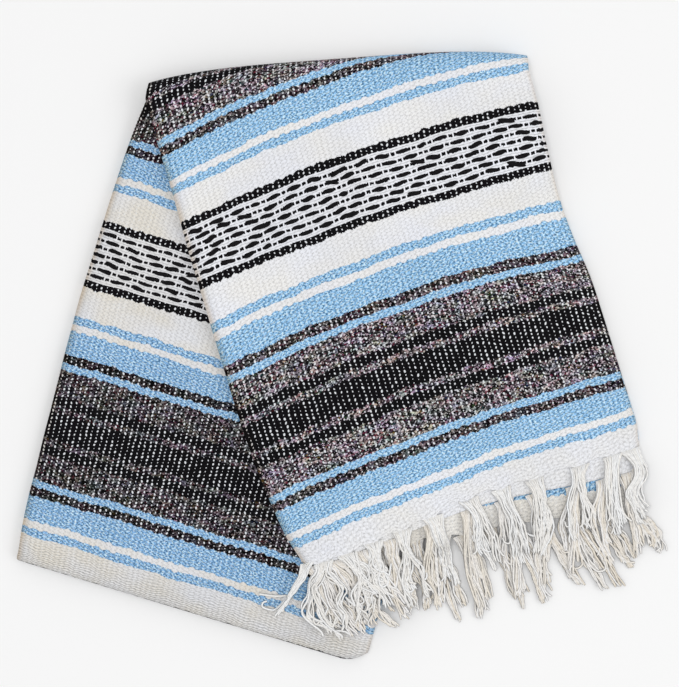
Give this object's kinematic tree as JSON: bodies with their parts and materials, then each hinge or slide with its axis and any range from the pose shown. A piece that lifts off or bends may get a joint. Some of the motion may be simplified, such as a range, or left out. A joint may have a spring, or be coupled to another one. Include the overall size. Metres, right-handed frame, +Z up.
{
  "type": "folded mexican serape blanket",
  "caption": "Striped woven serape blanket with gathered fringe, folded into a strip and folded over once so that two legs spread apart.",
  "frame": {"origin": "middle of the folded blanket's outline, on the surface that it lies on", "axes": "+Z up from that surface, +Y towards the top fold, +X towards the fringed end"},
  "size_m": [0.6062, 0.5669, 0.0303],
  "materials": {
    "striped_cloth": "coarse plain-woven cloth in sky blue, white, black and flecked grey stripes",
    "folded_layers": "the edges of the same striped cloth, folded in layers",
    "fringe_yarn": "soft off-white warp yarn"
  },
  "bodies": {
    "root": {"outer_stretch": "striped_cloth", "inner_stretch": "striped_cloth", "hidden_layers": "folded_layers", "fringe_top": "fringe_yarn", "fringe_middle": "fringe_yarn", "fringe_low": "fringe_yarn"}
  },
  "joints": []
}
